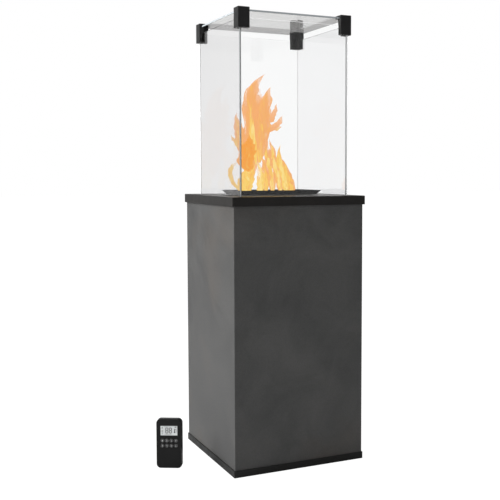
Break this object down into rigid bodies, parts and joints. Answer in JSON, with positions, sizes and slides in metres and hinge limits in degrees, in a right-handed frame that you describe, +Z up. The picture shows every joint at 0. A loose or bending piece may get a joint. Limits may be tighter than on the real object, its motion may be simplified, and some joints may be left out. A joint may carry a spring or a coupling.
{
  "type": "patio gas heater",
  "caption": "Free-standing square patio gas heater: dark cabinet with a service door, stone slab, glass flame box with corner clips, burner, and a cordless handset.",
  "frame": {"origin": "on the floor under the middle of the cabinet", "axes": "+Z up, -Y out of the wide front casing, +X to the right seen from the front; the service door is at +Y"},
  "size_m": [0.6091, 0.4356, 1.3635],
  "materials": {
    "plinth_black": "satin black paint",
    "frame_steel": "matt black paint",
    "casing_ceramic": "mottled dark grey, concrete look",
    "slab_stone": "polished black",
    "clear_glass": "clear toughened",
    "clip_black": "satin black powder coat",
    "gasket_silicone": "black silicone",
    "screw_steel": "zinc plated",
    "hinge_steel": "black painted",
    "magnet_steel": "nickel plated",
    "tray_black": "heat-proof black",
    "burner_steel": "heat-tinted stainless",
    "probe_ceramic": "glazed",
    "probe_steel": "stainless",
    "pipe_metal": "drawn tube",
    "fitting_brass": "machined",
    "valve_aluminium": "die cast",
    "knob_plastic": "moulded",
    "receiver_plastic": "moulded",
    "cell_metal": "plain wrapper",
    "handset_gloss": "piano black",
    "handset_matte": "fine texture",
    "handset_screen": "liquid crystal, pale",
    "board_green": "circuit board",
    "key_black": "black with grey ring"
  },
  "bodies": {
    "cabinet": {"base_plinth": "plinth_black", "burner_chamber": "burner_steel", "burner_pipe": "pipe_metal", "burner_plate": "burner_steel", "burner_tray": "tray_black", "casing_front": "casing_ceramic", "casing_left": "casing_ceramic", "casing_right": "casing_ceramic", "clip_plates": "clip_black", "clip_screws": "screw_steel", "control_shelf": "frame_steel", "corner_clip_front_left": "clip_black", "corner_clip_front_right": "clip_black", "corner_clip_rear_left": "clip_black", "corner_clip_rear_right": "clip_black", "corner_post_front_left": "frame_steel", "corner_post_front_right": "frame_steel", "corner_post_rear_left": "frame_steel", "corner_post_rear_right": "frame_steel", "frame_screws": "screw_steel", "gas_injector": "fitting_brass", "gas_valve": "valve_aluminium", "glass_ceiling": "clear_glass", "glass_front": "clear_glass", "glass_gasket": "gasket_silicone", "glass_left": "clear_glass", "glass_rear": "clear_glass", "glass_right": "clear_glass", "hinge_fixed_leaves": "hinge_steel", "hinge_pins": "hinge_steel", "inlet_fitting": "fitting_brass", "pilot_burner": "burner_steel", "pilot_pipe": "pipe_metal", "receiver_batteries": "cell_metal", "receiver_box": "receiver_plastic", "spark_electrode": "probe_ceramic", "thermocouple": "probe_steel", "top_frame": "frame_steel", "top_slab": "slab_stone"},
    "door": {"rear_door": "casing_ceramic", "door_magnets": "magnet_steel", "hinge_door_leaves": "hinge_steel", "hinge_screws": "screw_steel"},
    "flow_knob": {"flow_knob": "knob_plastic"},
    "manual_knob": {"manual_knob": "knob_plastic"},
    "receiver_lid": {"receiver_lid": "receiver_plastic"},
    "handset": {"handset_front": "handset_gloss", "handset_rear": "handset_matte", "handset_board": "board_green", "handset_screen": "handset_screen", "handset_batteries": "cell_metal"},
    "handset_hatch": {"handset_hatch": "handset_matte"},
    "key_flame": {"key_flame": "key_black"},
    "key_timer": {"key_timer": "key_black"},
    "key_temperature": {"key_temperature": "key_black"},
    "key_up": {"key_up": "key_black"},
    "key_light": {"key_light": "key_black"},
    "key_mode": {"key_mode": "key_black"},
    "key_fan": {"key_fan": "key_black"},
    "key_down": {"key_down": "key_black"}
  },
  "joints": [
    {"name": "door_hinge", "type": "hinge", "parent": "cabinet", "child": "door", "pos_m": [-0.1994, 0.215, 0.4], "axis": [0, 0, 1], "range_deg": [0, 110]},
    {"name": "flow_knob_turn", "type": "hinge", "parent": "cabinet", "child": "flow_knob", "pos_m": [-0.088, 0.17, 0.7], "axis": [0, 1, 0], "range_deg": [0, 180]},
    {"name": "manual_knob_turn", "type": "hinge", "parent": "cabinet", "child": "manual_knob", "pos_m": [-0.042, 0.17, 0.7], "axis": [0, 1, 0], "range_deg": [0, 90]},
    {"name": "receiver_lid_lift", "type": "slide", "parent": "cabinet", "child": "receiver_lid", "axis": [0, 0, 1], "range_m": [0, 0.03]},
    {"name": "handset_lift", "type": "slide", "parent": "cabinet", "child": "handset", "axis": [0, 0, 1], "range_m": [0, 0.3]},
    {"name": "handset_hatch_pull", "type": "slide", "parent": "handset", "child": "handset_hatch", "axis": [0.4695, 0.8829, 0], "range_m": [0, 0.02]},
    {"name": "key_flame_press", "type": "slide", "parent": "handset", "child": "key_flame", "axis": [0.4695, 0.8829, 0], "range_m": [0, 0.001], "stiffness_N_per_m": 400},
    {"name": "key_timer_press", "type": "slide", "parent": "handset", "child": "key_timer", "axis": [0.4695, 0.8829, 0], "range_m": [0, 0.001], "stiffness_N_per_m": 400},
    {"name": "key_temperature_press", "type": "slide", "parent": "handset", "child": "key_temperature", "axis": [0.4695, 0.8829, 0], "range_m": [0, 0.001], "stiffness_N_per_m": 400},
    {"name": "key_up_press", "type": "slide", "parent": "handset", "child": "key_up", "axis": [0.4695, 0.8829, 0], "range_m": [0, 0.001], "stiffness_N_per_m": 400},
    {"name": "key_light_press", "type": "slide", "parent": "handset", "child": "key_light", "axis": [0.4695, 0.8829, 0], "range_m": [0, 0.001], "stiffness_N_per_m": 400},
    {"name": "key_mode_press", "type": "slide", "parent": "handset", "child": "key_mode", "axis": [0.4695, 0.8829, 0], "range_m": [0, 0.001], "stiffness_N_per_m": 400},
    {"name": "key_fan_press", "type": "slide", "parent": "handset", "child": "key_fan", "axis": [0.4695, 0.8829, 0], "range_m": [0, 0.001], "stiffness_N_per_m": 400},
    {"name": "key_down_press", "type": "slide", "parent": "handset", "child": "key_down", "axis": [0.4695, 0.8829, 0], "range_m": [0, 0.001], "stiffness_N_per_m": 400}
  ]
}
